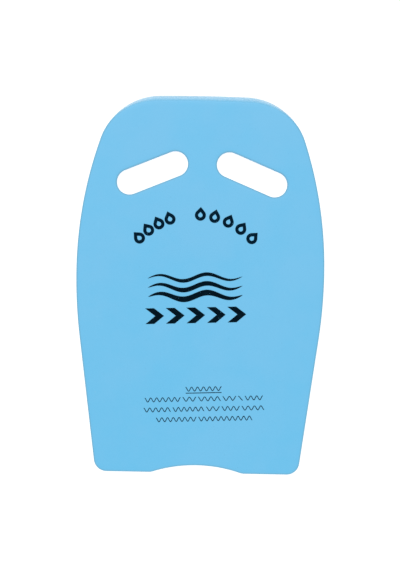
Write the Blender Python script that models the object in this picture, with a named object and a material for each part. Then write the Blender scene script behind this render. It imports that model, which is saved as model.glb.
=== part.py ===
"""Kickboard float: two bonded sheets of closed-cell EVA foam, cut to one outline with two grip slots,
and the separate films of dried ink printed on the front face.

The board lies on its back face: +Z is up, +Y points at the nose, and the origin is the middle of the
back face. All values are in metres and radians.
"""

import math

import bmesh
import bpy
from mathutils import Matrix, Vector

# Overall size
LENGTH = 0.430
WIDTH = 0.2825
THICKNESS = 0.030

# Outline, from the nose to the tail
NOSE_CROWN_RADIUS = 2.04  # the nose is almost straight across
NOSE_CORNER_RADIUS = 0.072
WIDEST_FROM_NOSE = 0.2005
UPPER_SIDE_RADIUS = 0.469
LOWER_SIDE_RADIUS = 0.565
SIDE_TAPER = math.radians(7.74)  # how far the straight lower sides lean in
TAIL_CORNER_RADIUS = 0.0147
TAIL_HOLLOW_WIDTH = 0.1035
TAIL_HOLLOW_DEPTH = 0.0086
TAIL_SHOULDER_RADIUS = 0.017

# Edges
EDGE_ROUND = 0.0011
NOSE_SEAM_BACK = 0.0025  # how far the back sheet's nose leans in by the time it meets the bond
NOSE_LEAN_CURVE = 2.0  # that lean is slow at the back face and quick at the bond
NOSE_LEAN = 0.0003  # how much further the front sheet's nose leans in below its rounded edge
NOSE_ROUND_IN = 0.0048  # the front edge at the nose is rounded this far along the face
NOSE_ROUND_DOWN = 0.0075  # and this far down the wall
NOSE_FADE = 3.4  # how quickly the lean and the rounding fade out round the nose corners

# Grip slots
SLOT_LENGTH = 0.085
SLOT_WIDTH = 0.0289
SLOT_FROM_MIDDLE = 0.0568
SLOT_FROM_NOSE = 0.0892
SLOT_TILT = math.radians(22.6)  # the outer ends lean towards the tail

# The bond between the sheets
BOND_THICKNESS = 0.0004
BOND_CLEARANCE = 0.0001
BOND_SETBACK = 0.0006  # the film stops short of every cut edge

# Printed ink
INK_THICKNESS = 0.00015
INK_CLEARANCE = 0.00005
PRINT_TURN = math.radians(2.3)  # the print sits slightly turned on the board

# Places of the two print blocks: from the middle, and as shares of the panel from slots to tail
BADGE_FROM_MIDDLE = -0.0055
BADGE_STATION = 0.378
NOTICE_FROM_MIDDLE = 0.007
NOTICE_STATION = 0.769

# Arch of drops, round a centre below the badge's own
ARCH_RADIUS = 0.0917
ARCH_CENTRE_DROP = 0.0085
ARCH_GROUPS = (  # how many drops, the angle of the first, and the angle between them
    (4, math.radians(133.7), math.radians(8.73)),
    (5, math.radians(85.2), math.radians(10.45)),
)
DROP_HEIGHT = 0.0157
DROP_WIDTH = 0.0126
DROP_STROKE = 0.0038

# Badge: wave bands, lowest first, and the chevrons under them
WAVE_LENGTH = 0.108
WAVE_RISE = 0.0036
WAVE_PITCH = 0.0105
WAVE_CRESTS = 2
WAVE_BANDS = (("lower", 0.0068), ("middle", 0.0055), ("upper", 0.0043))
CHEVRON_COUNT = 5
CHEVRON_LENGTH = 0.0212
CHEVRON_HEIGHT = 0.0178
CHEVRON_ARM = 0.0100
CHEVRON_PITCH = 0.0234
CHEVRON_ROW_DROP = 0.0325

# Notice: words drawn as wave lines, counted in cells of one letter's width
NOTICE_PITCH = 0.0114
CELL_WIDTH = 0.0051
WORD_SPACE = 0.0024
HEADING_CELLS = 8
LINE_CELLS = ((8, 3, 5, 3, 1, 4), (6, 7, 3, 4, 5), (9, 12))
WORD_RISE = 0.0023
WORD_STROKE = 0.00085
WORD_HALF_WAVE = 0.0032
RULE_DROP = 0.0045
RULE_STROKE = 0.0008

# Steps along each kind of curve
CROWN_STEPS = 3
CORNER_STEPS = 20
SIDE_STEPS = 8
FILLET_STEPS = 8
HOLLOW_STEPS = 5
SLOT_STEPS = 12
BACK_WALL_SHARES = (0.3, 0.5, 0.7, 0.85)  # where the back sheet's wall has a ring of its own
ROUND_STEPS = 6
SHOULDER_STEPS = 3
DROP_STEPS = 24
WAVE_STEPS = 48
HALF_WAVE_STEPS = 6

SHEET_THICKNESS = (THICKNESS - BOND_THICKNESS) / 2 - BOND_CLEARANCE
SLOT_Y = LENGTH / 2 - SLOT_FROM_NOSE
PANEL_LENGTH = LENGTH - SLOT_FROM_NOSE


# ---------------------------------------------------------------- scene and materials


def clear_scene():
    """Remove whatever the file holds."""
    for thing in list(bpy.data.objects):
        bpy.data.objects.remove(thing, do_unlink=True)


def make_material(name, color, roughness):
    """A plain Principled material; nothing on the board is metal."""
    material = bpy.data.materials.new(name)
    material.use_nodes = True
    shader = material.node_tree.nodes["Principled BSDF"]
    shader.inputs["Base Color"].default_value = (*color, 1.0)
    shader.inputs["Roughness"].default_value = roughness
    shader.inputs["Metallic"].default_value = 0.0
    return material


# ---------------------------------------------------------------- outlines in the plane


def arc(centre, radius, start, end, steps):
    """Points round a circle from one angle to another, both ends included."""
    angles = [start + (end - start) * i / steps for i in range(steps + 1)]
    return [centre + radius * Vector((math.cos(a), math.sin(a))) for a in angles]


def angle_of(vector):
    """The direction of a vector in the plane."""
    return math.atan2(vector.y, vector.x)


def circle_inside_both(first, first_radius, second, second_radius, radius):
    """The centre, on the +X side, of a circle that touches two larger ones from inside."""
    to_first = first_radius - radius
    to_second = second_radius - radius
    gap = second - first
    along = (to_first**2 - to_second**2 + gap.length**2) / (2 * gap.length)
    across = math.sqrt(to_first**2 - along**2)
    unit = gap.normalized()
    side = Vector((-unit.y, unit.x))
    foot = first + unit * along
    return max((foot + side * across, foot - side * across), key=lambda p: p.x)


def half_outline():
    """The right half of the board, from the middle of the tail round to the middle of the nose."""
    nose_y = LENGTH / 2
    tail_y = -LENGTH / 2
    widest = Vector((WIDTH / 2, nose_y - WIDEST_FROM_NOSE))

    # The hollow in the tail, and the round shoulder that leads into it
    hollow_radius = (TAIL_HOLLOW_WIDTH**2 / 4 + TAIL_HOLLOW_DEPTH**2) / (2 * TAIL_HOLLOW_DEPTH)
    hollow = Vector((0.0, tail_y + TAIL_HOLLOW_DEPTH - hollow_radius))
    shoulder_y = tail_y + TAIL_SHOULDER_RADIUS
    reach = hollow_radius + TAIL_SHOULDER_RADIUS
    shoulder = Vector((math.sqrt(reach**2 - (shoulder_y - hollow.y) ** 2), shoulder_y))
    meet = angle_of(shoulder - hollow)
    points = arc(hollow, hollow_radius, math.pi / 2, meet, HOLLOW_STEPS)
    points += arc(shoulder, TAIL_SHOULDER_RADIUS, meet - math.pi, -math.pi / 2, SHOULDER_STEPS)[1:]

    # The lower side: an arc down from the widest point, then a straight run to the tail corner
    lower = widest - Vector((LOWER_SIDE_RADIUS, 0.0))
    outward = Vector((math.cos(SIDE_TAPER), -math.sin(SIDE_TAPER)))
    downward = Vector((-math.sin(SIDE_TAPER), -math.cos(SIDE_TAPER)))
    side_end = lower + outward * LOWER_SIDE_RADIUS
    inner = side_end - outward * TAIL_CORNER_RADIUS
    run = (tail_y + TAIL_CORNER_RADIUS - inner.y) / downward.y
    corner = inner + downward * run
    points += arc(corner, TAIL_CORNER_RADIUS, -math.pi / 2, -SIDE_TAPER, FILLET_STEPS)
    points += arc(lower, LOWER_SIDE_RADIUS, -SIDE_TAPER, 0.0, SIDE_STEPS // 2)

    # The upper side, the nose corner and the nose, each tangent to the next
    upper = widest - Vector((UPPER_SIDE_RADIUS, 0.0))
    crown = Vector((0.0, nose_y - NOSE_CROWN_RADIUS))
    nose_corner = circle_inside_both(
        crown, NOSE_CROWN_RADIUS, upper, UPPER_SIDE_RADIUS, NOSE_CORNER_RADIUS
    )
    side_angle = angle_of(nose_corner - upper)
    crown_angle = angle_of(nose_corner - crown)
    points += arc(upper, UPPER_SIDE_RADIUS, 0.0, side_angle, SIDE_STEPS)[1:]
    points += arc(nose_corner, NOSE_CORNER_RADIUS, side_angle, crown_angle, CORNER_STEPS)[1:]
    points += arc(crown, NOSE_CROWN_RADIUS, crown_angle, math.pi / 2, CROWN_STEPS)[1:]
    return points


def board_outline():
    """The whole outline, anticlockwise, from the right half and its mirror image."""
    right = half_outline()
    left = [Vector((-p.x, p.y)) for p in reversed(right[1:-1])]
    return right + left


def slot_outline(side):
    """A stadium, clockwise round the hole so that its normals point into the hole. side is 1 or -1."""
    radius = SLOT_WIDTH / 2
    reach = SLOT_LENGTH / 2 - radius
    left = Vector((-reach, 0.0))
    right = Vector((reach, 0.0))
    quarter = math.pi / 2
    points = arc(left, radius, -quarter, -3 * quarter, SLOT_STEPS)
    points += arc(right, radius, quarter, -quarter, SLOT_STEPS)
    turn = Matrix.Rotation(-side * SLOT_TILT, 2)
    centre = Vector((side * SLOT_FROM_MIDDLE, SLOT_Y))
    return [centre + turn @ p for p in points]


def normals_of(points):
    """The outward direction at each point of an outline that keeps its solid on its left."""
    normals = []
    for before, point, after in zip(points[-1:] + points[:-1], points, points[1:] + points[:1]):
        along = (point - before).normalized() + (after - point).normalized()
        normals.append(Vector((along.y, -along.x)).normalized())
    return normals


# ---------------------------------------------------------------- solids


def bridge(bm, low, high):
    """A wall of quads between two closed rings of vertices."""
    for i in range(len(low)):
        following = (i + 1) % len(low)
        bm.faces.new((low[i], low[following], high[following], high[i]))


def loft(name, stacks, material):
    """A solid whose first stack of rings is its outer wall and whose other stacks are holes.

    A stack is a list of rings from the bottom up, and all stacks start and end on the same two planes.
    """
    bm = bmesh.new()
    rims = {0: [], -1: []}
    for stack in stacks:
        rings = [[bm.verts.new(p) for p in ring] for ring in stack]
        for low, high in zip(rings, rings[1:]):
            bridge(bm, low, high)
        for end, rim in rims.items():
            ring = rings[end]
            rim += [bm.edges.get((v, ring[(i + 1) % len(ring)])) for i, v in enumerate(ring)]
    for rim in rims.values():
        bmesh.ops.triangle_fill(bm, use_beauty=True, use_dissolve=False, edges=rim)
    bmesh.ops.recalc_face_normals(bm, faces=bm.faces)
    mesh = bpy.data.meshes.new(name)
    bm.to_mesh(mesh)
    bm.free()
    mesh.shade_smooth()
    mesh.set_sharp_from_angle(angle=math.radians(30))
    mesh.materials.append(material)
    piece = bpy.data.objects.new(name, mesh)
    bpy.context.collection.objects.link(piece)
    return piece


def plain_level(z, setback=0.0):
    """A level of a wall at one height, set back from the outline."""
    return lambda facing_nose: (z, setback)


def rounded_edge(face_z, inward, nose_in, nose_down):
    """The levels of an edge rounded into a face, from the wall to the face.

    inward is 1 on the front face and -1 on the back face. The rounding grows to nose_in by nose_down
    at the nose.
    """

    def level(turn):
        def place(facing_nose):
            along = EDGE_ROUND + (nose_in - EDGE_ROUND) * facing_nose
            down = EDGE_ROUND + (nose_down - EDGE_ROUND) * facing_nose
            return face_z - inward * down * (1 - math.sin(turn)), along * (1 - math.cos(turn))

        return place

    return [level(math.pi / 2 * i / ROUND_STEPS) for i in range(ROUND_STEPS + 1)]


def nose_lean(z):
    """How far in the nose leans at a height: most of it over the back sheet, a little over the front one."""
    back = min(1.0, max(0.0, z - EDGE_ROUND) / (SHEET_THICKNESS - EDGE_ROUND))
    front = max(0.0, z - SHEET_THICKNESS) / (THICKNESS - SHEET_THICKNESS)
    return NOSE_SEAM_BACK * back**NOSE_LEAN_CURVE + NOSE_LEAN * front


def wall(outline, levels, reaches_nose):
    """The rings of one wall. Where it faces the nose it also leans in, more the higher it is."""
    normals = normals_of(outline)
    rings = []
    for level in levels:
        ring = []
        for point, normal in zip(outline, normals):
            facing_nose = max(0.0, normal.y) ** NOSE_FADE if reaches_nose else 0.0
            z, back = level(facing_nose)
            moved = point - normal * (back + nose_lean(z) * facing_nose)
            ring.append(Vector((moved.x, moved.y, z)))
        rings.append(ring)
    return rings


def foam_layer(name, levels, material):
    """A layer of the board with its outer wall and the two slots straight through it."""
    stacks = [wall(board_outline(), levels, reaches_nose=True)]
    stacks += [wall(slot_outline(side), levels, reaches_nose=False) for side in (1, -1)]
    return loft(name, stacks, material)


def make_body(foam, bond):
    """The two sheets and the film of adhesive between them."""
    film_low = SHEET_THICKNESS + BOND_CLEARANCE
    film_high = film_low + BOND_THICKNESS
    back = rounded_edge(0.0, -1, EDGE_ROUND, EDGE_ROUND)[::-1]
    back += [plain_level(SHEET_THICKNESS * share) for share in BACK_WALL_SHARES] + [plain_level(SHEET_THICKNESS)]
    film = [plain_level(film_low, BOND_SETBACK), plain_level(film_high, BOND_SETBACK)]
    front = [plain_level(film_high + BOND_CLEARANCE)] + rounded_edge(THICKNESS, 1, NOSE_ROUND_IN, NOSE_ROUND_DOWN)
    foam_layer("back_sheet", back, foam)
    foam_layer("bond_film", film, bond)
    foam_layer("front_sheet", front, foam)


# ---------------------------------------------------------------- printed ink


def print_film(name, outlines, place, material):
    """A film of ink on the front face, from flat outlines: the first is its edge, the rest are holes."""
    low = Matrix.Translation((0.0, 0.0, THICKNESS + INK_CLEARANCE)) @ place
    high = Matrix.Translation((0.0, 0.0, INK_THICKNESS)) @ low
    stacks = [[[plane @ p.to_3d() for p in outline] for plane in (low, high)] for outline in outlines]
    return loft(name, stacks, material)


def print_place(from_middle, station):
    """The turned frame of a print block, at a share of the panel between the slots and the tail."""
    place = Vector((from_middle, SLOT_Y - station * PANEL_LENGTH, 0.0))
    return Matrix.Translation(place) @ Matrix.Rotation(PRINT_TURN, 4, "Z")


def drop_outline(radius, height):
    """A drop with its round end down, its tip straight above, and the circle's centre at the origin."""
    tip = height - radius
    touch = math.acos(radius / tip)
    start = math.pi / 2 + touch
    end = math.pi / 2 - touch + 2 * math.pi
    return [Vector((0.0, tip))] + arc(Vector((0.0, 0.0)), radius, start, end, DROP_STEPS)


def make_arch(place, ink):
    """The arch of outlined drops over the badge, each standing square to the arch."""
    radius = DROP_WIDTH / 2
    inner = radius - DROP_STROKE
    outlines = (drop_outline(radius, DROP_HEIGHT), drop_outline(inner, DROP_HEIGHT * inner / radius))
    centre_up = radius - DROP_HEIGHT / 2
    angles = [first - pitch * i for count, first, pitch in ARCH_GROUPS for i in range(count)]
    for number, angle in enumerate(angles, 1):
        stand = (
            place
            @ Matrix.Translation((0.0, -ARCH_CENTRE_DROP, 0.0))
            @ Matrix.Rotation(angle - math.pi / 2, 4, "Z")
            @ Matrix.Translation((0.0, ARCH_RADIUS + centre_up, 0.0))
        )
        print_film(f"arch_drop_{number}", outlines, stand, ink)


def wave_band_outline(thickness):
    """A wave that swells in the middle and runs out to a point at each end."""
    lower = []
    upper = []
    for i in range(1, WAVE_STEPS):
        share = i / WAVE_STEPS
        x = (share - 0.5) * WAVE_LENGTH
        y = WAVE_RISE * math.sin(2 * math.pi * WAVE_CRESTS * share)
        half = thickness / 2 * math.sin(math.pi * share) ** 0.6
        lower.append(Vector((x, y - half)))
        upper.append(Vector((x, y + half)))
    left = Vector((-WAVE_LENGTH / 2, 0.0))
    right = Vector((WAVE_LENGTH / 2, 0.0))
    return [left] + lower + [right] + upper[::-1]


def make_waves(place, ink):
    """The badge: wave bands one above the other, thinner towards the top."""
    for i, (name, thickness) in enumerate(WAVE_BANDS):
        rise = WAVE_PITCH * (i - (len(WAVE_BANDS) - 1) / 2)
        stand = place @ Matrix.Translation((0.0, rise, 0.0))
        print_film(f"wave_band_{name}", (wave_band_outline(thickness),), stand, ink)


def make_chevrons(place, ink):
    """The row of bold chevrons under the badge."""
    back = -CHEVRON_LENGTH / 2
    tip = CHEVRON_LENGTH / 2
    half = CHEVRON_HEIGHT / 2
    corners = (
        (back, -half),
        (back + CHEVRON_ARM, -half),
        (tip, 0.0),
        (back + CHEVRON_ARM, half),
        (back, half),
        (tip - CHEVRON_ARM, 0.0),
    )
    outline = [Vector(corner) for corner in corners]
    for i in range(CHEVRON_COUNT):
        x = CHEVRON_PITCH * (i - (CHEVRON_COUNT - 1) / 2)
        stand = place @ Matrix.Translation((x, -CHEVRON_ROW_DROP, 0.0))
        print_film(f"chevron_{i + 1}", (outline,), stand, ink)


def word_outline(width):
    """A wave line of even stroke and whole half waves, as wide as the word it stands for."""
    half_waves = max(1, int(width / WORD_HALF_WAVE))
    steps = half_waves * HALF_WAVE_STEPS
    turn = math.pi * half_waves / width
    lower = []
    upper = []
    for i in range(steps + 1):
        phase = turn * width * i / steps
        point = Vector((width * (i / steps - 0.5), WORD_RISE * math.cos(phase)))
        across = Vector((WORD_RISE * turn * math.sin(phase), 1.0)).normalized() * WORD_STROKE / 2
        lower.append(point - across)
        upper.append(point + across)
    return lower + upper[::-1]


def make_notice(place, ink):
    """The notice: a heading with a rule under it, and lines of words drawn as wave lines."""
    heading_width = HEADING_CELLS * CELL_WIDTH
    lines = len(LINE_CELLS)
    top = place @ Matrix.Translation((0.0, NOTICE_PITCH * lines / 2, 0.0))
    print_film("notice_heading", (word_outline(heading_width),), top, ink)
    half = Vector((heading_width / 2, RULE_STROKE / 2))
    corners = ((-half.x, -half.y), (half.x, -half.y), (half.x, half.y), (-half.x, half.y))
    rule = [Vector(corner) for corner in corners]
    print_film("notice_rule", (rule,), top @ Matrix.Translation((0.0, -RULE_DROP, 0.0)), ink)
    for line, cells in enumerate(LINE_CELLS, 1):
        row = top @ Matrix.Translation((0.0, -NOTICE_PITCH * line, 0.0))
        x = -(sum(cells) * CELL_WIDTH + (len(cells) - 1) * WORD_SPACE) / 2
        for word, count in enumerate(cells, 1):
            width = count * CELL_WIDTH
            stand = row @ Matrix.Translation((x + width / 2, 0.0, 0.0))
            name = f"notice_line_{line}_word_{word}"
            print_film(name, (word_outline(width),), stand, ink)
            x += width + WORD_SPACE


def main():
    """Build the board and its prints."""
    clear_scene()
    make_body(
        make_material("eva_foam", (0.198, 0.565, 0.855), 0.8),
        make_material("bond_adhesive", (0.10, 0.36, 0.60), 0.6),
    )
    badge = print_place(BADGE_FROM_MIDDLE, BADGE_STATION)
    navy = make_material("navy_ink", (0.006, 0.018, 0.030), 0.5)
    make_arch(badge, navy)
    make_notice(print_place(NOTICE_FROM_MIDDLE, NOTICE_STATION), navy)
    charcoal = make_material("charcoal_ink", (0.023, 0.025, 0.032), 0.5)
    make_waves(badge, charcoal)
    make_chevrons(badge, charcoal)


main()
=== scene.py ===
"""Kickboard float: two bonded sheets of closed-cell foam with two grip slots and a printed face.

The board lies on its back face, with +Y towards the nose and +Z out of the printed face, in
metres. The foam sheets and the adhesive between them are built here in full, over the frame's
plain solids. The printed films keep the frame's own shapes and get their ink here.
"""

import logging
import math
from abc import ABC, abstractmethod
from collections.abc import Callable, Iterable, Sequence
from dataclasses import dataclass
from enum import Enum
from functools import partial

import bmesh
import bpy
from mathutils import Matrix, Vector, noise


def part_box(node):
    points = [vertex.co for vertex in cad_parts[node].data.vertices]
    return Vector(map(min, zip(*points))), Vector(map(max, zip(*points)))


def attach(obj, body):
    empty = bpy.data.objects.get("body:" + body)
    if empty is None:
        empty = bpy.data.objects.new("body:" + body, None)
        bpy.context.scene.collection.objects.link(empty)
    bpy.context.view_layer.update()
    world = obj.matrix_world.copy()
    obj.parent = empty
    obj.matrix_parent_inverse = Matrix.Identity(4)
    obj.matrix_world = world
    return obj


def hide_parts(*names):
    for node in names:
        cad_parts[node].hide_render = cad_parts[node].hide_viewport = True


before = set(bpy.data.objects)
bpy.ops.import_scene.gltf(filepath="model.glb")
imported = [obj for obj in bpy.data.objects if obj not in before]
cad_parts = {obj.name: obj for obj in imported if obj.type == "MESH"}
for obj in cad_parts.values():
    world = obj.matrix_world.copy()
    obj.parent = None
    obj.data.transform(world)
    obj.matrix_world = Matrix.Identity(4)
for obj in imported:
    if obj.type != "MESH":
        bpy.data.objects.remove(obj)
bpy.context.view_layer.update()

LOG = logging.getLogger("kickboard_float")

Node = bpy.types.Node
Socket = bpy.types.NodeSocket
Material = bpy.types.Material
Object = bpy.types.Object

Colour = tuple[float, float, float]
Ring = list[Vector]
# A ring of points, each with how much shade is painted on the foam there
ShadedRing = list[tuple[Vector, float]]
# A height and a distance back from the outline
Place = tuple[float, float]
# Gives a level's place on a wall from how squarely the wall faces the nose, 0 to 1
Level = Callable[[float], Place]

# Mesh attribute with the shade painted along the cut edges, from 0 to 1
EDGE_SHADE = "painted_edge_shade"
LONGEST_TURN = math.radians(5.0)
SHARP_ANGLE = math.radians(40.0)
STEP_SLACK = 1.3


# ---------------- named choices


class Sheet(Enum):
    """The two foam sheets, by the frame's names for them."""

    BACK = "back_sheet"
    FRONT = "front_sheet"


class Side(Enum):
    """A side of the board, seen from the printed face with the nose up."""

    RIGHT = 1
    LEFT = -1


class Slot(Enum):
    """Names of two of the record's material slots; no piece here is put in them."""

    FOAM = "eva_foam"
    ADHESIVE = "bond_adhesive"


# ---------------- outlines in the plane of the board


def arc(centre: Vector, radius: float, start: float, end: float, spacing: float) -> Ring:
    """Points round a circle.

    Args:
        centre: Middle of the circle.
        radius: Its radius.
        start: Angle of the first point.
        end: Angle of the last point.
        spacing: The longest step along the curve.

    Returns:
        The points, with both ends.
    """
    turn = abs(end - start)
    steps = max(2, math.ceil(radius * turn / spacing), math.ceil(turn / LONGEST_TURN))
    angles = [start + (end - start) * i / steps for i in range(steps + 1)]
    return [centre + radius * Vector((math.cos(a), math.sin(a))) for a in angles]


def angle_of(vector: Vector) -> float:
    """The direction of a vector in the plane."""
    return math.atan2(vector.y, vector.x)


def circle_inside_both(
    first: Vector, first_radius: float, second: Vector, second_radius: float, radius: float
) -> Vector:
    """Where a circle sits that touches two larger ones from inside.

    Args:
        first: Centre of one larger circle.
        first_radius: Its radius.
        second: Centre of the other.
        second_radius: Its radius.
        radius: Radius of the circle that touches both.

    Returns:
        The centre that lies on the +X side.
    """
    to_first = first_radius - radius
    to_second = second_radius - radius
    gap = second - first
    along = (to_first**2 - to_second**2 + gap.length**2) / (2 * gap.length)
    across = math.sqrt(to_first**2 - along**2)
    unit = gap.normalized()
    side = Vector((-unit.y, unit.x))
    foot = first + unit * along
    return max((foot + side * across, foot - side * across), key=lambda p: p.x)


def evenly(points: Sequence[Vector], spacing: float) -> Ring:
    """A closed outline with its long straight runs cut into short steps.

    Args:
        points: The outline.
        spacing: The step wanted. A step may be longer by the slack.

    Returns:
        The outline with points added on its straight runs.
    """
    ring: Ring = []
    for here, following in zip(points, list(points[1:]) + [points[0]]):
        steps = max(1, math.ceil((following - here).length / (STEP_SLACK * spacing)))
        ring += [here.lerp(following, i / steps) for i in range(steps)]
    return ring


def outward(points: Sequence[Vector]) -> Ring:
    """The outward direction at each point of an outline that keeps its solid on its left.

    Args:
        points: The outline.

    Returns:
        A unit vector for each point.
    """
    points = list(points)
    normals: Ring = []
    for before, point, after in zip(points[-1:] + points[:-1], points, points[1:] + points[:1]):
        along = (point - before).normalized() + (after - point).normalized()
        normals.append(Vector((along.y, -along.x)).normalized())
    return normals


@dataclass(frozen=True)
class BoardOutline:
    """The board's outline and its two grip slots, in the plane of the board."""

    length: float
    width: float
    nose_crown_radius: float = 2.04
    nose_corner_radius: float = 0.072
    widest_from_nose: float = 0.2005
    upper_side_radius: float = 0.469
    lower_side_radius: float = 0.565
    side_taper: float = math.radians(7.74)
    tail_corner_radius: float = 0.0147
    tail_hollow_width: float = 0.1035
    tail_hollow_depth: float = 0.0086
    tail_shoulder_radius: float = 0.017
    slot_length: float = 0.085
    slot_width: float = 0.0289
    slot_from_middle: float = 0.0568
    slot_from_nose: float = 0.0892
    slot_tilt: float = math.radians(22.6)
    spacing: float = 0.0016

    def right_half(self) -> Ring:
        """Draws the right half.

        Returns:
            Its points, from the middle of the tail round to the middle of the nose.
        """
        nose_y = self.length / 2
        tail_y = -self.length / 2
        widest = Vector((self.width / 2, nose_y - self.widest_from_nose))

        # The hollow in the tail and the round shoulder that leads into it
        depth = self.tail_hollow_depth
        hollow_radius = (self.tail_hollow_width**2 / 4 + depth**2) / (2 * depth)
        hollow = Vector((0.0, tail_y + depth - hollow_radius))
        shoulder_y = tail_y + self.tail_shoulder_radius
        reach = hollow_radius + self.tail_shoulder_radius
        shoulder = Vector((math.sqrt(reach**2 - (shoulder_y - hollow.y) ** 2), shoulder_y))
        meet = angle_of(shoulder - hollow)
        points = arc(hollow, hollow_radius, math.pi / 2, meet, self.spacing)
        round_in = self.tail_shoulder_radius
        points += arc(shoulder, round_in, meet - math.pi, -math.pi / 2, self.spacing)[1:]

        # The tail corner, a straight run up the lower side, then its arc to the widest point
        lower = widest - Vector((self.lower_side_radius, 0.0))
        across = Vector((math.cos(self.side_taper), -math.sin(self.side_taper)))
        down = Vector((-math.sin(self.side_taper), -math.cos(self.side_taper)))
        inner = lower + across * (self.lower_side_radius - self.tail_corner_radius)
        corner = inner + down * ((tail_y + self.tail_corner_radius - inner.y) / down.y)
        taper = -self.side_taper
        points += arc(corner, self.tail_corner_radius, -math.pi / 2, taper, self.spacing)
        points += arc(lower, self.lower_side_radius, taper, 0.0, self.spacing)

        # The upper side, the nose corner and the nose, each tangent to the next
        upper = widest - Vector((self.upper_side_radius, 0.0))
        crown = Vector((0.0, nose_y - self.nose_crown_radius))
        bend = self.nose_corner_radius
        nose_corner = circle_inside_both(
            crown, self.nose_crown_radius, upper, self.upper_side_radius, bend
        )
        side_angle = angle_of(nose_corner - upper)
        crown_angle = angle_of(nose_corner - crown)
        points += arc(upper, self.upper_side_radius, 0.0, side_angle, self.spacing)[1:]
        points += arc(nose_corner, bend, side_angle, crown_angle, self.spacing)[1:]
        points += arc(crown, self.nose_crown_radius, crown_angle, math.pi / 2, self.spacing)[1:]
        return points

    def edge(self) -> Ring:
        """Draws the whole outline.

        Returns:
            Its points, anticlockwise.
        """
        right = self.right_half()
        left = [Vector((-p.x, p.y)) for p in reversed(right[1:-1])]
        return evenly(right + left, self.spacing)

    def slot(self, side: Side) -> Ring:
        """The edge of one grip slot, clockwise, so that it faces into the slot.

        Args:
            side: Which of the two slots.

        Returns:
            The points of its edge.
        """
        radius = self.slot_width / 2
        reach = self.slot_length / 2 - radius
        quarter = math.pi / 2
        points = arc(Vector((-reach, 0.0)), radius, -quarter, -3 * quarter, self.spacing)
        points += arc(Vector((reach, 0.0)), radius, quarter, -quarter, self.spacing)
        turn = Matrix.Rotation(-side.value * self.slot_tilt, 2)
        centre = Vector((side.value * self.slot_from_middle, self.length / 2 - self.slot_from_nose))
        return evenly([centre + turn @ p for p in points], self.spacing)


# ---------------- solids made of rings


class RingSolid:
    """A closed solid made of stacks of rings: first the outer wall, then its holes."""

    def __init__(self, name: str) -> None:
        """Starts an empty solid.

        Args:
            name: Name of the piece it becomes.
        """
        self.name = name
        self.shape = bmesh.new()
        self.edge_shade = self.shape.verts.layers.float.new(EDGE_SHADE)
        self.rims: tuple[list, list] = ([], [])

    def add_wall(self, rings: Iterable[ShadedRing]) -> None:
        """Adds one wall.

        Args:
            rings: Its rings from the bottom up, all with the same number of points. With each point
                comes how much shade is painted on the foam there, from 0 to 1.
        """
        corners = []
        for ring in rings:
            corners.append([self.shape.verts.new(p) for p, _ in ring])
            for corner, (_, edge_shade) in zip(corners[-1], ring):
                corner[self.edge_shade] = edge_shade
        count = len(corners[0])
        for low, high in zip(corners, corners[1:]):
            for i in range(count):
                j = (i + 1) % count
                self.shape.faces.new((low[i], low[j], high[j], high[i]))
        for rim, ring in zip(self.rims, (corners[0], corners[-1])):
            following = ring[1:] + ring[:1]
            rim += [self.shape.edges.get(pair) for pair in zip(ring, following)]

    def finish(self, material: Material) -> Object:
        """Closes both ends and makes the piece.

        Args:
            material: The piece's finish.

        Returns:
            The new piece, linked into the scene.
        """
        for rim in self.rims:
            bmesh.ops.triangle_fill(self.shape, use_beauty=True, use_dissolve=False, edges=rim)
        bmesh.ops.recalc_face_normals(self.shape, faces=self.shape.faces)
        mesh = bpy.data.meshes.new(self.name)
        self.shape.to_mesh(mesh)
        self.shape.free()
        mesh.shade_smooth()
        mesh.set_sharp_from_angle(angle=SHARP_ANGLE)
        mesh.materials.append(material)
        piece = bpy.data.objects.new(self.name, mesh)
        bpy.context.scene.collection.objects.link(piece)
        return piece


# ---------------- wiring of materials


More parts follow.
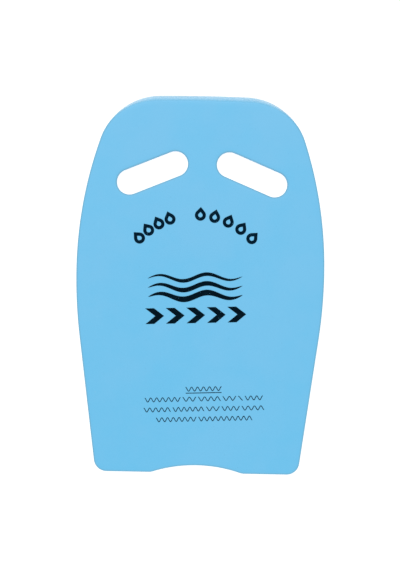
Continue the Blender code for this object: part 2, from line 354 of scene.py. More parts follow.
class Wiring:
    """Adds nodes to one node tree and joins them."""

    def __init__(self, tree: bpy.types.NodeTree) -> None:
        """Takes the tree that the nodes go into, a material's or a group's."""
        self.tree = tree

    def add(
        self, kind: str, feeds: dict[str | int, object] | None = None, **settings: object
    ) -> Node:
        """Adds one node.

        Args:
            kind: Blender's name for the kind of node.
            feeds: What goes into its sockets: another node's output, or a plain value.
            settings: The node's own settings.

        Returns:
            The new node.
        """
        node = self.tree.nodes.new(kind)
        for name, value in settings.items():
            setattr(node, name, value)
        for socket, value in (feeds or {}).items():
            self.feed(node.inputs[socket], value)
        return node

    def feed(self, socket: Socket, value: object) -> None:
        """Links an output to a socket, or sets the socket's own value.

        Args:
            socket: The socket.
            value: The output or the value.
        """
        if isinstance(value, Socket):
            self.tree.links.new(value, socket)
        else:
            socket.default_value = value

    def calc(self, kind: str, *terms: object) -> Socket:
        """The answer of a Math node with one, two or three inputs."""
        return self.add("ShaderNodeMath", dict(enumerate(terms)), operation=kind).outputs[0]

    def times(self, product: object, *factors: object) -> Socket:
        """Multiplies two or more values.

        Args:
            product: The first value.
            factors: The others.

        Returns:
            Their product.
        """
        for factor in factors:
            product = self.calc("MULTIPLY", product, factor)
        return product

    def ramp(
        self, value: object, low: float, high: float, to_low: float = 0.0, to_high: float = 1.0
    ) -> Socket:
        """A smooth step from one value to another.

        Args:
            value: What is measured.
            low: Where the step starts.
            high: Where it ends.
            to_low: The answer before it.
            to_high: The answer after it.

        Returns:
            The answer's socket.
        """
        feeds = {
            "Value": value,
            "From Min": low,
            "From Max": high,
            "To Min": to_low,
            "To Max": to_high,
        }
        return self.add("ShaderNodeMapRange", feeds, interpolation_type="SMOOTHSTEP").outputs[0]

    def blend(self, share: object, first: object, second: object) -> Socket:
        """A mix of two colours.

        Args:
            share: 0 for the first, 1 for the second.
            first: One colour.
            second: The other colour.

        Returns:
            The mixed colour's socket.
        """
        mix = self.add("ShaderNodeMix", data_type="RGBA")
        for name, value in (("Factor_Float", share), ("A_Color", first), ("B_Color", second)):
            self.feed(next(s for s in mix.inputs if s.identifier == name), value)
        return next(s for s in mix.outputs if s.identifier == "Result_Color")

    def clouds(self, place: object, scale: object, detail: float, rough: float = 0.5) -> Socket:
        """Noise. Scale is patches per metre, detail is finer layers and rough their strength."""
        feeds = {"Vector": place, "Scale": scale, "Detail": detail, "Roughness": rough}
        return self.add("ShaderNodeTexNoise", feeds).outputs[0]

    def cells(self, place: object, scale: object, feature: str = "F1") -> Node:
        """Cells. Scale is cells per metre, and feature is what is measured in each."""
        return self.add("ShaderNodeTexVoronoi", {"Vector": place, "Scale": scale}, feature=feature)

    def bump(self, height: object, depth: float, over: Socket | None = None) -> Socket:
        """The normal of a relief of some depth, laid over another normal if one is given."""
        under = {} if over is None else {"Normal": over}
        return self.add("ShaderNodeBump", {"Height": height, "Distance": depth} | under).outputs[0]


def opaque(colour: Colour) -> tuple[float, float, float, float]:
    """A colour with full alpha."""
    return (*colour, 1.0)


# ---------------- effects that finishes share


class Effect(ABC):
    """A shader node group with named sockets, built once and placed in each finish."""

    title: str
    # Its inputs with their default values: a vector has none
    takes: dict[str, float | None]
    # Its outputs, which are all plain values
    gives: tuple[str, ...]

    @abstractmethod
    def wire(self, nodes: Wiring, taken: Node) -> dict[str, Socket]:
        """Wires the inside of the group.

        Args:
            nodes: Wiring of the group's tree.
            taken: The group's input node.

        Returns:
            The socket that feeds each named output.
        """

    def tree(self) -> bpy.types.NodeTree:
        """Makes the group the first time it is asked for.

        Returns:
            The group's tree.
        """
        found = bpy.data.node_groups.get(self.title)
        if found:
            return found
        made = bpy.data.node_groups.new(self.title, "ShaderNodeTree")
        for name, value in self.takes.items():
            kind = "NodeSocketVector" if value is None else "NodeSocketFloat"
            socket = made.interface.new_socket(name, in_out="INPUT", socket_type=kind)
            if value is not None:
                socket.default_value = value
        for name in self.gives:
            made.interface.new_socket(name, in_out="OUTPUT", socket_type="NodeSocketFloat")
        nodes = Wiring(made)
        given = self.wire(nodes, nodes.add("NodeGroupInput"))
        nodes.add("NodeGroupOutput", given)
        return made

    def place(self, nodes: Wiring, **feeds: object) -> Node:
        """Places the group in a finish.

        Args:
            nodes: Wiring of the finish's tree.
            feeds: Its inputs, with underscores for the spaces in their names.

        Returns:
            The group's node.
        """
        node = nodes.add("ShaderNodeGroup", node_tree=self.tree())
        for name, value in feeds.items():
            nodes.feed(node.inputs[name.replace("_", " ")], value)
        return node


class CellGrain(Effect):
    """The pebbled grain of closed foam cells."""

    title = "closed_cell_grain"
    takes = {"Position": None, "Cell Size": 0.0006}
    gives = ("Height", "Pits")
    cell_height = 0.6
    clump_scale = 0.31
    clump_detail = 3.0
    clump_height = 0.5
    pit_scale = 0.12
    pit_rim = (0.05, 0.09)
    pit_height = -0.8

    def wire(self, nodes: Wiring, taken: Node) -> dict[str, Socket]:
        """Cells of two sizes, and a few deeper pits among them.

        Args:
            nodes: Wiring of the group's tree.
            taken: The group's input node.

        Returns:
            The relief of the grain, and a mask of its pits.
        """
        place = taken.outputs["Position"]
        fine = nodes.calc("DIVIDE", 1.0, taken.outputs["Cell Size"])
        cells = nodes.cells(place, fine, "SMOOTH_F1").outputs["Distance"]
        clumps = nodes.clouds(place, nodes.times(fine, self.clump_scale), self.clump_detail)
        raised = nodes.times(clumps, self.clump_height)
        relief = nodes.calc("MULTIPLY_ADD", cells, self.cell_height, raised)
        spots = nodes.cells(place, nodes.times(fine, self.pit_scale)).outputs["Distance"]
        pits = nodes.ramp(spots, *self.pit_rim, 1.0, 0.0)
        return {"Height": nodes.calc("MULTIPLY_ADD", pits, self.pit_height, relief), "Pits": pits}


class SlowMottle(Effect):
    """Broad, weak patches, as in foam that cured unevenly."""

    title = "slow_mottle"
    takes = {"Position": None, "Patch Size": 0.05}
    gives = ("Patches", "Waviness")
    patch_detail = 4.0
    patch_roughness = 0.6
    patch_rim = (0.3, 0.7)
    swell_scale = 0.8
    swell_detail = 1.0

    def wire(self, nodes: Wiring, taken: Node) -> dict[str, Socket]:
        """Noise at the patch size, and slower noise beside it.

        Args:
            nodes: Wiring of the group's tree.
            taken: The group's input node.

        Returns:
            The patches from 0 to 1, and a slower swell for the surface's waviness.
        """
        place = taken.outputs["Position"]
        scale = nodes.calc("DIVIDE", 1.0, taken.outputs["Patch Size"])
        broad = nodes.clouds(place, scale, self.patch_detail, self.patch_roughness)
        swell = nodes.clouds(place, nodes.times(scale, self.swell_scale), self.swell_detail)
        return {"Patches": nodes.ramp(broad, *self.patch_rim), "Waviness": swell}


class CutWalls(Effect):
    """Which parts of a piece are walls that the die cut, and which are its edges.

    Each step runs over the upright share of the surface's direction: 1 on a face, 0 on a wall.
    """

    title = "cut_walls"
    takes = {"Facing": None}
    gives = ("Wall", "Edge")
    off_face = (0.999, 0.90)
    off_wall = (0.10, 0.45)
    onto_wall = (0.41, 0.23)
    onto_round = (0.99, 0.70)
    round_share = 0.60

    def wire(self, nodes: Wiring, taken: Node) -> dict[str, Socket]:
        """Sorts the surface by how far it stands up from the flat.

        Args:
            nodes: Wiring of the group's tree.
            taken: The group's input node.

        Returns:
            A mask of the walls, which starts weakly on the round, partly as light painted on the
            lit nose round, and one of the round edges.
        """
        split = nodes.add("ShaderNodeSeparateXYZ", {0: taken.outputs["Facing"]})
        flat = nodes.calc("ABSOLUTE", split.outputs["Z"])
        # The paler cut colour runs weakly onto the rounds, partly as light painted on the lit nose
        # round
        round_paling = nodes.ramp(flat, *self.onto_round, 0.0, self.round_share)
        return {
            "Wall": nodes.calc("MAXIMUM", round_paling, nodes.ramp(flat, *self.onto_wall)),
            "Edge": nodes.times(nodes.ramp(flat, *self.off_face), nodes.ramp(flat, *self.off_wall)),
        }


class DieDrag(Effect):
    """The fine upright lines that a steel die drags down a cut wall."""

    title = "die_drag"
    takes = {"Position": None, "Line Width": 0.0008}
    gives = ("Height",)
    stretch = (1.0, 1.0, 0.06)
    line_detail = 3.0
    line_roughness = 0.6

    def wire(self, nodes: Wiring, taken: Node) -> dict[str, Socket]:
        """Noise that is drawn out along the thickness of the board.

        Args:
            nodes: Wiring of the group's tree.
            taken: The group's input node.

        Returns:
            The relief of the lines.
        """
        feeds = {0: taken.outputs["Position"], 1: self.stretch}
        drawn = nodes.add("ShaderNodeVectorMath", feeds, operation="MULTIPLY").outputs[0]
        scale = nodes.calc("DIVIDE", 1.0, taken.outputs["Line Width"])
        return {"Height": nodes.clouds(drawn, scale, self.line_detail, self.line_roughness)}


class HandlingMarks(Effect):
    """Light rubs that hands and shelves leave on the edges, and a few specks of lint."""

    title = "handling_marks"
    takes = {"Position": None, "Edge": 0.0, "Amount": 0.2}
    gives = ("Rub", "Specks")
    rub_scale = 70.0
    rub_detail = 6.0
    rub_roughness = 0.65
    rub_rim = (0.52, 0.68)
    speck_scale = 45.0
    speck_rim = (0.012, 0.022)
    bare_share = 0.72

    def wire(self, nodes: Wiring, taken: Node) -> dict[str, Socket]:
        """Breaks the edge mask into rubs and scatters specks over everything.

        Args:
            nodes: Wiring of the group's tree.
            taken: The group's input node.

        Returns:
            A mask of the rubs and a mask of the specks.
        """
        place, amount = taken.outputs["Position"], taken.outputs["Amount"]
        rubs = nodes.clouds(place, self.rub_scale, self.rub_detail, self.rub_roughness)
        broken = nodes.ramp(rubs, *self.rub_rim)
        dots = nodes.cells(place, self.speck_scale)
        near = nodes.ramp(dots.outputs["Distance"], *self.speck_rim, 1.0, 0.0)
        lot = nodes.add("ShaderNodeSeparateColor", {0: dots.outputs["Color"]}).outputs[0]
        chosen = nodes.calc("GREATER_THAN", lot, self.bare_share)
        return {
            "Rub": nodes.times(broken, taken.outputs["Edge"], amount),
            "Specks": nodes.times(near, chosen, amount),
        }


class InkCover(Effect):
    """How a screen-printed film of ink covers the foam's grain."""

    title = "ink_cover"
    takes = {"Position": None, "Mesh Size": 0.0004, "Bareness": 0.5}
    gives = ("Bare", "Thin", "Height")
    hole_scale = 0.16
    hole_size = 0.10
    thin_scale = 160.0
    thin_detail = 5.0
    thin_roughness = 0.6
    thin_rim = (0.45, 0.75)
    weave_detail = 2.0

    def wire(self, nodes: Wiring, taken: Node) -> dict[str, Socket]:
        """Pinholes over the deepest cells, thinner patches, and the weave of the screen.

        Args:
            nodes: Wiring of the group's tree.
            taken: The group's input node.

        Returns:
            A mask of the pinholes, a mask of thin ink, and the film's relief.
        """
        place = taken.outputs["Position"]
        fine = nodes.calc("DIVIDE", 1.0, taken.outputs["Mesh Size"])
        holes = nodes.cells(place, nodes.times(fine, self.hole_scale)).outputs["Distance"]
        size = nodes.times(taken.outputs["Bareness"], self.hole_size)
        bare = nodes.calc("LESS_THAN", holes, size)
        thin = nodes.clouds(place, self.thin_scale, self.thin_detail, self.thin_roughness)
        weave = nodes.clouds(place, fine, self.weave_detail)
        return {
            "Bare": bare,
            "Thin": nodes.ramp(thin, *self.thin_rim),
            "Height": nodes.calc("MULTIPLY_ADD", bare, -1.0, weave),
        }


# ---------------- finishes


class Finish(ABC):
    """A finish that pieces can be given."""

    title: str

    @abstractmethod
    def wire(self, nodes: Wiring, shader: Node) -> None:
        """Wires the finish's nodes into its shader.

        Args:
            nodes: Wiring of the material's tree.
            shader: The material's Principled shader.
        """

    def material(self) -> Material:
        """Makes the finish's material the first time it is asked for.

        Returns:
            The material.
        """
        found = bpy.data.materials.get(self.title)
        if found:
            return found
        made = bpy.data.materials.new(self.title)
        made.use_nodes = True
        self.wire(Wiring(made.node_tree), made.node_tree.nodes["Principled BSDF"])
        return made


@dataclass(frozen=True)
class FoamFinish(Finish):
    """Closed-cell foam: a satin skin with sheen painted on paler towards the nose, open cells on
    the cut walls, and shade painted along the cut edges.
    """

    title: str = "sky_blue_foam"
    skin: Colour = (0.135, 0.542, 0.862)
    # Paler tone for the mottle's patches, and for the sheen painted on towards the nose
    skin_pale_and_sheen: Colour = (0.172, 0.552, 0.862)
    cut: Colour = (0.295, 0.600, 0.825)
    # Painted shade for the cut edges and the grain's pits
    painted_shade: Colour = (0.158, 0.480, 0.715)
    rubbed: Colour = (0.360, 0.640, 0.820)
    lint: Colour = (0.500, 0.620, 0.680)
    skin_roughness: float = 0.50
    cut_roughness: float = 0.30
    patch_roughness: float = 0.05
    cell_size: float = 0.0007
    patch_size: float = 0.060
    grain_depth: float = 0.00010
    open_grain: float = 0.8
    pit_shade: float = 0.25
    wave_depth: float = 0.0010
    drag_depth: float = 0.00006
    handling: float = 0.25
    # How much sheen is painted on at the nose, and over what length along the board
    nose_sheen_share: float = 0.35
    nose_sheen_reach: float = 0.20
    gloss_ior: float = 1.48

    def wire(self, nodes: Wiring, shader: Node) -> None:
        """Skin on the flats and open cells on the walls, with mottle, grain, die lines and rubs,
        and painted sheen and shade.

        Args:
            nodes: Wiring of the material's tree.
            shader: The material's Principled shader.
        """
        where = nodes.add("ShaderNodeTexCoord")
        place = where.outputs["Object"]
        cuts = CutWalls().place(nodes, Facing=where.outputs["Normal"])
        wall, edge = cuts.outputs["Wall"], cuts.outputs["Edge"]
        grain = CellGrain().place(nodes, Position=place, Cell_Size=self.cell_size)
        mottle = SlowMottle().place(nodes, Position=place, Patch_Size=self.patch_size)
        patches = mottle.outputs["Patches"]
        marks = HandlingMarks().place(nodes, Position=place, Edge=edge, Amount=self.handling)
        drag = DieDrag().place(nodes, Position=place)

        # Sheen painted into the colour, paler towards the nose, mixed with the mottle's patches
        along = nodes.add("ShaderNodeSeparateXYZ", {0: place}).outputs["Y"]
        painted_nose_sheen = nodes.ramp(along, -self.nose_sheen_reach, self.nose_sheen_reach, 0.0, self.nose_sheen_share)
        mottle_and_sheen = nodes.calc("MULTIPLY_ADD", patches, 1.0 - self.nose_sheen_share, painted_nose_sheen)
        # Shade painted along the cut edges, darkest on the rounds
        edge_shade = nodes.add("ShaderNodeAttribute", attribute_name=EDGE_SHADE)
        colour = nodes.blend(mottle_and_sheen, opaque(self.skin), opaque(self.skin_pale_and_sheen))
        for mask, over in (
            # Paler open cells on the walls, and on the rounds partly painted light
            (wall, self.cut),
            (edge_shade.outputs["Fac"], self.painted_shade),
            # Shade painted into the grain's pits
            (nodes.times(grain.outputs["Pits"], self.pit_shade), self.painted_shade),
            (marks.outputs["Rub"], self.rubbed),
            (marks.outputs["Specks"], self.lint),
        ):
            colour = nodes.blend(mask, colour, opaque(over))
        nodes.feed(shader.inputs["Base Color"], colour)

        rough = nodes.ramp(wall, 0.0, 1.0, self.skin_roughness, self.cut_roughness)
        rough = nodes.calc("MULTIPLY_ADD", patches, self.patch_roughness, rough)
        nodes.feed(shader.inputs["Roughness"], rough)

        wavy = nodes.bump(mottle.outputs["Waviness"], self.wave_depth)
        lined = nodes.bump(nodes.times(drag.outputs["Height"], wall), self.drag_depth, wavy)
        coarser = nodes.calc("MULTIPLY_ADD", wall, self.open_grain, 1.0)
        cells = nodes.times(grain.outputs["Height"], coarser)
        nodes.feed(shader.inputs["Normal"], nodes.bump(cells, self.grain_depth, lined))
        shader.inputs["IOR"].default_value = self.gloss_ior


@dataclass(frozen=True)
class AdhesiveFinish(Finish):
    """Dried contact adhesive, a shade darker than the foam."""

    title: str = "dried_adhesive"
    film: Colour = (0.085, 0.300, 0.500)
    cloudy: Colour = (0.130, 0.380, 0.590)
    cloud_size: float = 0.012
    cell_size: float = 0.0011
    grain_depth: float = 0.0001
    roughness: float = 0.42
    cloud_roughness: float = 0.12

    def wire(self, nodes: Wiring, shader: Node) -> None:
        """Cloudy colour and a lumpy surface.

        Args:
            nodes: Wiring of the material's tree.
            shader: The material's Principled shader.
        """
        place = nodes.add("ShaderNodeTexCoord").outputs["Object"]
        mottle = SlowMottle().place(nodes, Position=place, Patch_Size=self.cloud_size)
        clouds = mottle.outputs["Patches"]
        grain = CellGrain().place(nodes, Position=place, Cell_Size=self.cell_size)
        colour = nodes.blend(clouds, opaque(self.film), opaque(self.cloudy))
        nodes.feed(shader.inputs["Base Color"], colour)
        rough = nodes.calc("MULTIPLY_ADD", clouds, self.cloud_roughness, self.roughness)
        nodes.feed(shader.inputs["Roughness"], rough)
        lumpy = nodes.bump(grain.outputs["Height"], self.grain_depth)
        nodes.feed(shader.inputs["Normal"], lumpy)


@dataclass(frozen=True)
class InkFinish(Finish):
    """Screen-printed ink on foam."""

    title: str
    ink: Colour
    thin_ink: Colour
    foam: Colour = (0.142, 0.537, 0.846)
    lint: Colour = (0.300, 0.330, 0.350)
    roughness: float = 0.50
    thin_roughness: float = 0.14
    gloss_level: float = 0.015
    mesh_size: float = 0.0005
    bareness: float = 0.6
    handling: float = 0.25
    film_depth: float = 0.00006

    def wire(self, nodes: Wiring, shader: Node) -> None:
        """Ink that thins in patches and shows the foam through its pinholes.

        Args:
            nodes: Wiring of the material's tree.
            shader: The material's Principled shader.
        """
        place = nodes.add("ShaderNodeTexCoord").outputs["Object"]
        cover = InkCover().place(
            nodes, Position=place, Mesh_Size=self.mesh_size, Bareness=self.bareness
        )
        marks = HandlingMarks().place(nodes, Position=place, Amount=self.handling)
        colour = nodes.blend(cover.outputs["Thin"], opaque(self.ink), opaque(self.thin_ink))
        colour = nodes.blend(marks.outputs["Specks"], colour, opaque(self.lint))
        colour = nodes.blend(cover.outputs["Bare"], colour, opaque(self.foam))
        nodes.feed(shader.inputs["Base Color"], colour)
        rough = nodes.calc(
            "MULTIPLY_ADD", cover.outputs["Thin"], self.thin_roughness, self.roughness
        )
        nodes.feed(shader.inputs["Roughness"], rough)
        woven = nodes.bump(cover.outputs["Height"], self.film_depth)
        nodes.feed(shader.inputs["Normal"], woven)
        shader.inputs["Specular IOR Level"].default_value = self.gloss_level


# ---------------- the foam body


def fixed(z: float, back: float) -> Level:
    """A level that is the same all round."""
    return lambda facing_nose: (z, back)


@dataclass(frozen=True)
class CutEdges:
    """The shape that the die and the trimming leave on every cut edge, and the shade painted along
    it.
    """

    thickness: float
    seam_height: float
    edge_round: float = 0.0011
    nose_seam_back: float = 0.0025
    nose_lean_curve: float = 2.0
    nose_lean: float = 0.0003
    nose_round_in: float = 0.0048
    nose_round_down: float = 0.0075
    nose_fade: float = 3.4
    seam_round: float = 0.00040
    wall_dish: float = 0.00025
    face_roll: float = 0.00018
    roll_width: float = 0.0050
    # How far the painted edge shade reaches, and how far up the back sheet's nose wall
    edge_shade_reach: float = 0.0010
    nose_edge_shade_reach: float = 0.0100
    flat_margin: float = 0.0008
    round_steps: int = 8
    roll_steps: int = 5
    wall_steps: int = 10
    seam_steps: int = 3

    def rounding(self, facing_nose: float) -> tuple[float, float]:
        """How far an edge is rounded along the face and down the wall, which grows at the nose."""
        along = self.edge_round + (self.nose_round_in - self.edge_round) * facing_nose
        return along, self.edge_round + (self.nose_round_down - self.edge_round) * facing_nose

    def lean(self, z: float) -> float:
        """How far in the nose leans.

        Args:
            z: Height of a point on it.

        Returns:
            The distance back from the outline.
        """
        back = min(1.0, max(0.0, z - self.edge_round) / (self.seam_height - self.edge_round))
        front = max(0.0, z - self.seam_height) / (self.thickness - self.seam_height)
        return self.nose_seam_back * back**self.nose_lean_curve + self.nose_lean * front

    def outer(self, face: float, inward: int, at_nose: bool) -> list[Level]:
        """The levels from a wall to a face: the round edge, the roll beside it and the flat.

        Args:
            face: Height of the face.
            inward: 1 for the front face, -1 for the back one.
            at_nose: True if the edge grows rounder at the nose.

        Returns:
            The levels, from the wall inwards.
        """
        slope = math.atan(2 * self.face_roll / self.roll_width)
        last = math.pi / 2 - slope

        def place(turn: float, share: float, facing_nose: float) -> Place:
            """Where the edge is.

            Args:
                turn: Angle round the edge, from 0 at the wall.
                share: Share of the roll's width, which is over 1 on the flat.
                facing_nose: How squarely the edge faces the nose.

            Returns:
                The place on the edge.
            """
            along, down = self.rounding(facing_nose if at_nose else 0.0)
            roll = self.face_roll * (1 - min(1.0, share)) ** 2
            drop = roll + down * (math.sin(last) - math.sin(turn))
            return face - inward * drop, along * (1 - math.cos(turn)) + self.roll_width * share

        spots = [(last * i / self.round_steps, 0.0) for i in range(self.round_steps + 1)]
        spots += [(last, (i + 1) / self.roll_steps) for i in range(self.roll_steps)]
        spots += [(last, 1.0 + self.flat_margin / self.roll_width)]
        return [partial(place, turn, share) for turn, share in spots]

    def seam(self, height: float, inward: int) -> list[Level]:
        """The levels of the small round where a sheet meets the bond, from the wall inwards.

        Args:
            height: Height of the sheet's bonded side.
            inward: 1 where the sheet lies under the bond, -1 where it lies over it.

        Returns:
            The levels.
        """
        levels = []
        for i in range(self.seam_steps + 1):
            turn = math.pi / 2 * i / self.seam_steps
            drop = self.seam_round * (1 - math.sin(turn))
            levels.append(fixed(height - inward * drop, self.seam_round * (1 - math.cos(turn))))
        return levels + [fixed(height, self.seam_round + self.flat_margin)]

    def between(self, low: Level, high: Level) -> list[Level]:
        """The levels of a plain wall between two others, which aren't repeated.

        Args:
            low: The level under the wall.
            high: The level over it.

        Returns:
            The wall's levels, from the bottom up.
        """

        def place(share: float, facing_nose: float) -> Place:
            """Where the wall is at a share of its height."""
            start, end = low(facing_nose)[0], high(facing_nose)[0]
            return start + (end - start) * share, 0.0

        return [partial(place, i / self.wall_steps) for i in range(1, self.wall_steps)]

    def edge_shade(self, z: float, back: float, facing_nose: float) -> float:
        """How much shade is painted on a point near a cut edge.

        Args:
            z: Height of the point.
            back: How far it is set back from the outline.
            facing_nose: How squarely the edge faces the nose, where the shade reaches farther up
                the back sheet and spares the lit front sheet.

        Returns:
            0 for no painted shade, 1 for full painted shade.
        """
        low = z < self.thickness / 2
        drawn = (self.nose_edge_shade_reach - self.edge_shade_reach) * facing_nose if low else 0.0
        down = (min(z, self.thickness - z) - self.edge_round) / (self.edge_shade_reach + drawn)
        along = (back - self.edge_round) / self.edge_shade_reach
        left = 1.0 - min(1.0, max(0.0, down, along))
        # The front sheet's nose edge, which the nose light falls on, gets no painted shade
        lit_nose = 0.0 if low else facing_nose
        smooth = left * left * (3.0 - 2.0 * left)
        return smooth * (1.0 - lit_nose) ** 2

    def rings(
        self, outline: Sequence[Vector], levels: Iterable[Level], reaches_nose: bool
    ) -> list[ShadedRing]:
        """Sets an outline at each level, with the lean of the nose and the dish of the walls.

        Args:
            outline: The outline in the plane.
            levels: The levels from the bottom up.
            reaches_nose: True for the board's own edge, which leans back at the nose.

        Returns:
            One ring for each level, with the painted shade at each point.
        """
        sides = outward(outline)
        rings: list[ShadedRing] = []
        for level in levels:
            ring: ShadedRing = []
            for point, side in zip(outline, sides):
                facing_nose = max(0.0, side.y) ** self.nose_fade if reaches_nose else 0.0
                z, back = level(facing_nose)
                edge_shade = self.edge_shade(z, back, facing_nose)
                back += self.lean(z) * facing_nose
                share = min(1.0, max(0.0, z / self.thickness))
                back += self.wall_dish * math.sin(math.pi * share)
                moved = point - side * back
                ring.append((Vector((moved.x, moved.y, z)), edge_shade))
            rings.append(ring)
        return rings


@dataclass(frozen=True)
class FoamBody:
    """The two foam sheets and the film of adhesive between them."""

    outline: BoardOutline
    edges: CutEdges
    foam: FoamFinish = FoamFinish()
    adhesive: AdhesiveFinish = AdhesiveFinish()
    film_setback: float = 0.00075
    film_bulge: float = 0.00010
    film_wander: float = 0.00022
    wander_scale: float = 90.0
    wander_plane: float = 3.1

    def wandering(self, outline: Sequence[Vector], wander: float) -> Ring:
        """An outline that wanders in and out, as the edge of a glued film does.

        Args:
            outline: The outline in the plane.
            wander: How far it can stray.

        Returns:
            The new outline.
        """
        ring: Ring = []
        for point, side in zip(outline, outward(outline)):
            spot = Vector((point.x, point.y, 0.0)) * self.wander_scale
            spot.z = self.wander_plane
            ring.append(point - side * wander * noise.noise(spot))
        return ring

    def solid(
        self, name: str, levels: Sequence[Level], material: Material, wander: float = 0.0
    ) -> Object:
        """A layer of the board: its outer wall, with both grip slots through it.

        Args:
            name: Name of the piece.
            levels: Its levels from the bottom up.
            material: Its finish.
            wander: How far its edges stray.

        Returns:
            The piece.
        """
        layer = RingSolid(name)
        walls = [(self.outline.edge(), True)] + [(self.outline.slot(side), False) for side in Side]
        for outline, reaches_nose in walls:
            layer.add_wall(self.edges.rings(self.wandering(outline, wander), levels, reaches_nose))
        return layer.finish(material)

    def sheet(self, which: Sheet) -> Object:
        """One foam sheet, between the heights that the frame gives it.

        Args:
            which: The back or the front sheet.

        Returns:
            The piece, riding on the board in place of the frame's plain sheet.
        """
        low, high = (corner.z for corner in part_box(which.value))
        if which is Sheet.FRONT:
            bottom = self.edges.seam(low, -1)[::-1]
            top = self.edges.outer(high, 1, at_nose=True)
        else:
            bottom = self.edges.outer(low, -1, at_nose=False)[::-1]
            top = self.edges.seam(high, 1)
        levels = bottom + self.edges.between(bottom[-1], top[0]) + top
        piece = self.solid(f"foam_{which.value}", levels, self.foam.material())
        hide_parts(which.value)
        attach(piece, "root")
        return piece

    def film(self) -> Object:
        """The adhesive, which fills the bond and stops a little short of each cut, unevenly.

        Returns:
            The piece, riding on the board in place of the frame's plain film.
        """
        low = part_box(Sheet.BACK.value)[1].z
        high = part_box(Sheet.FRONT.value)[0].z
        middle = (low + high) / 2
        bulge = self.film_bulge
        shape = ((low, 2 * bulge), (low, 0.0), (middle, -bulge), (high, 0.0), (high, 2 * bulge))
        levels = [fixed(z, self.film_setback + back) for z, back in shape]
        glue = self.adhesive.material()
        piece = self.solid("bond_adhesive_film", levels, glue, self.film_wander)
        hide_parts("bond_film")
        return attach(piece, "root")

    def build(self) -> list[Object]:
        """All three pieces, from the back up."""
        return [self.sheet(Sheet.BACK), self.film(), self.sheet(Sheet.FRONT)]


# ---------------- the printed front


@dataclass(frozen=True)
class PrintedMarks:
    """The films of ink on the front face, which keep the frame's shapes."""

    navy: InkFinish = InkFinish(
        title="navy_screen_ink",
        ink=(0.0002, 0.0105, 0.0250),
        thin_ink=(0.0016, 0.0190, 0.0400),
    )
    charcoal: InkFinish = InkFinish(
        title="charcoal_screen_ink",
        ink=(0.0003, 0.0063, 0.0130),
        thin_ink=(0.0020, 0.0125, 0.0225),
    )

    def ink_of(self, node: str) -> InkFinish:
        """A film's ink: charcoal for the badge and its chevrons, navy for the rest."""
        return self.charcoal if node.startswith(("wave_band", "chevron")) else self.navy

    def dress(self) -> list[Object]:
        """Gives each printed film its ink.

        Returns:
            The films, in the order of their names.
        """
        body = {Sheet.BACK.value, Sheet.FRONT.value, "bond_film"}
        films = [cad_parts[name] for name in sorted(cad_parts) if name not in body]
        for film in films:
            material = self.ink_of(film.name).material()
            if not film.material_slots:
                film.data.materials.append(material)
            for place in film.material_slots:
                place.material = material
        return films


# ---------------- studio


@dataclass(frozen=True)
class SoftBox:
    """A round soft light that is turned to the board."""

    name: str
    place: Vector
    size: float
    power: float

    def build(self) -> Object:
        """Hangs the light in its place.

        Returns:
            The lamp.
        """
        light = bpy.data.lights.new(self.name, "AREA")
        light.shape = "DISK"
        light.size = self.size
        light.energy = self.power
        lamp = bpy.data.objects.new(self.name, light)
        lamp.location = self.place
        lamp.rotation_euler = (-self.place).to_track_quat("-Z", "Y").to_euler()
        lamp.visible_camera = False
        bpy.context.scene.collection.objects.link(lamp)
        return lamp


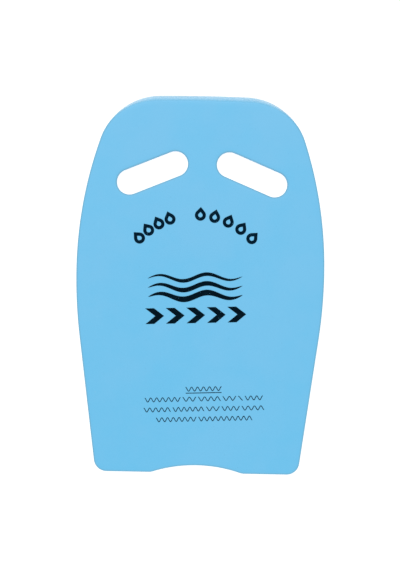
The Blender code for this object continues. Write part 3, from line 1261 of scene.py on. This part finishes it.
@dataclass(frozen=True)
class Studio:
    """A white table in an evenly lit room, with a light over the nose and one beyond the tail."""

    room_light: float = 0.40
    table_glow: float = 1.00
    table_tone: float = 0.20
    table_size: float = 120.0
    table_drop: float = 0.0002
    white: Colour = (1.0, 1.0, 1.0)
    main: SoftBox = SoftBox(
        name="softbox_main", place=Vector((-0.25, 1.40, 2.87)), size=1.3, power=52.6
    )
    fill: SoftBox = SoftBox(
        name="softbox_fill", place=Vector((0.20, -1.50, 0.90)), size=0.8, power=7.8
    )

    def table(self) -> Object:
        """The plain white table under the board, clear from below so that the back face shows.

        Returns:
            The table.
        """
        half = self.table_size / 2
        mesh = bpy.data.meshes.new("white_table")
        signs = ((-1, -1), (1, -1), (1, 1), (-1, 1))
        corners = [(x * half, y * half, -self.table_drop) for x, y in signs]
        mesh.from_pydata(corners, [], [range(len(corners))])
        table = bpy.data.objects.new("white_table", mesh)
        bpy.context.scene.collection.objects.link(table)
        paint = bpy.data.materials.new("white_table_paint")
        paint.use_nodes = True
        shader = paint.node_tree.nodes["Principled BSDF"]
        shader.inputs["Base Color"].default_value = opaque((self.table_tone,) * 3)
        shader.inputs["Roughness"].default_value = 1.0
        shader.inputs["Specular IOR Level"].default_value = 0.0
        shader.inputs["Emission Color"].default_value = opaque(self.white)
        shader.inputs["Emission Strength"].default_value = self.table_glow
        nodes = Wiring(paint.node_tree)
        below = nodes.add("ShaderNodeNewGeometry").outputs["Backfacing"]
        clear = nodes.add("ShaderNodeBsdfTransparent").outputs[0]
        shown = nodes.add("ShaderNodeMixShader", {0: below, 1: shader.outputs[0], 2: clear})
        nodes.feed(paint.node_tree.nodes["Material Output"].inputs["Surface"], shown.outputs[0])
        paint.cycles.emission_sampling = "NONE"
        mesh.materials.append(paint)
        return table

    def room(self) -> None:
        """Even white light from all round."""
        world = bpy.data.worlds.new("white_room")
        world.use_nodes = True
        background = world.node_tree.nodes["Background"]
        background.inputs["Color"].default_value = opaque(self.white)
        background.inputs["Strength"].default_value = self.room_light
        bpy.context.scene.world = world

    def build(self) -> None:
        """The whole studio, with its colours shown as they are."""
        self.table()
        self.room()
        self.main.build()
        self.fill.build()
        settings = bpy.context.scene.view_settings
        settings.view_transform = "Standard"
        settings.look = "None"
        settings.exposure = 0.0
        settings.gamma = 1.0


@dataclass(frozen=True)
class OverheadCamera:
    """A long lens that looks straight down on the printed face."""

    distance: float = 9.0
    field_height: float = 0.6492
    roll: float = math.radians(1.15)
    right_of_middle: float = -0.00010
    below_middle: float = 0.00094
    sensor: float = 36.0
    clip_end: float = 100.0

    def build(self, face: float) -> Object:
        """Sets the camera over the board and makes it the scene's.

        Args:
            face: Height of the printed face.

        Returns:
            The camera.
        """
        data = bpy.data.cameras.new("overhead_camera")
        data.sensor_width = self.sensor
        data.lens = self.sensor * self.distance / self.field_height
        data.clip_end = self.clip_end
        camera = bpy.data.objects.new("overhead_camera", data)
        turn = Matrix.Rotation(self.roll, 4, "Z")
        aim = turn @ Vector((self.right_of_middle, -self.below_middle, 0.0))
        above = Vector((0.0, 0.0, face + self.distance))
        camera.matrix_world = Matrix.Translation(aim + above) @ turn
        bpy.context.scene.collection.objects.link(camera)
        bpy.context.scene.camera = camera
        return camera


# ---------------- the whole board


def report(pieces: Iterable[Object]) -> None:
    """Logs each piece with its number of faces."""
    for piece in pieces:
        LOG.info("%s: %d faces", piece.name, len(piece.data.polygons))


def write_sizes() -> None:
    """Updates the view layer."""
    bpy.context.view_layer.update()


def main() -> None:
    """Builds the board, its prints and the studio."""
    logging.basicConfig(level=logging.INFO, format="%(message)s")
    _, front_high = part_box(Sheet.FRONT.value)
    back_low, back_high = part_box(Sheet.BACK.value)
    outline = BoardOutline(length=back_high.y - back_low.y, width=back_high.x - back_low.x)
    edges = CutEdges(thickness=front_high.z - back_low.z, seam_height=back_high.z)
    report(FoamBody(outline, edges).build())
    report(PrintedMarks().dress())
    Studio().build()
    OverheadCamera().build(front_high.z)
    write_sizes()


if __name__ == "__main__":
    main()
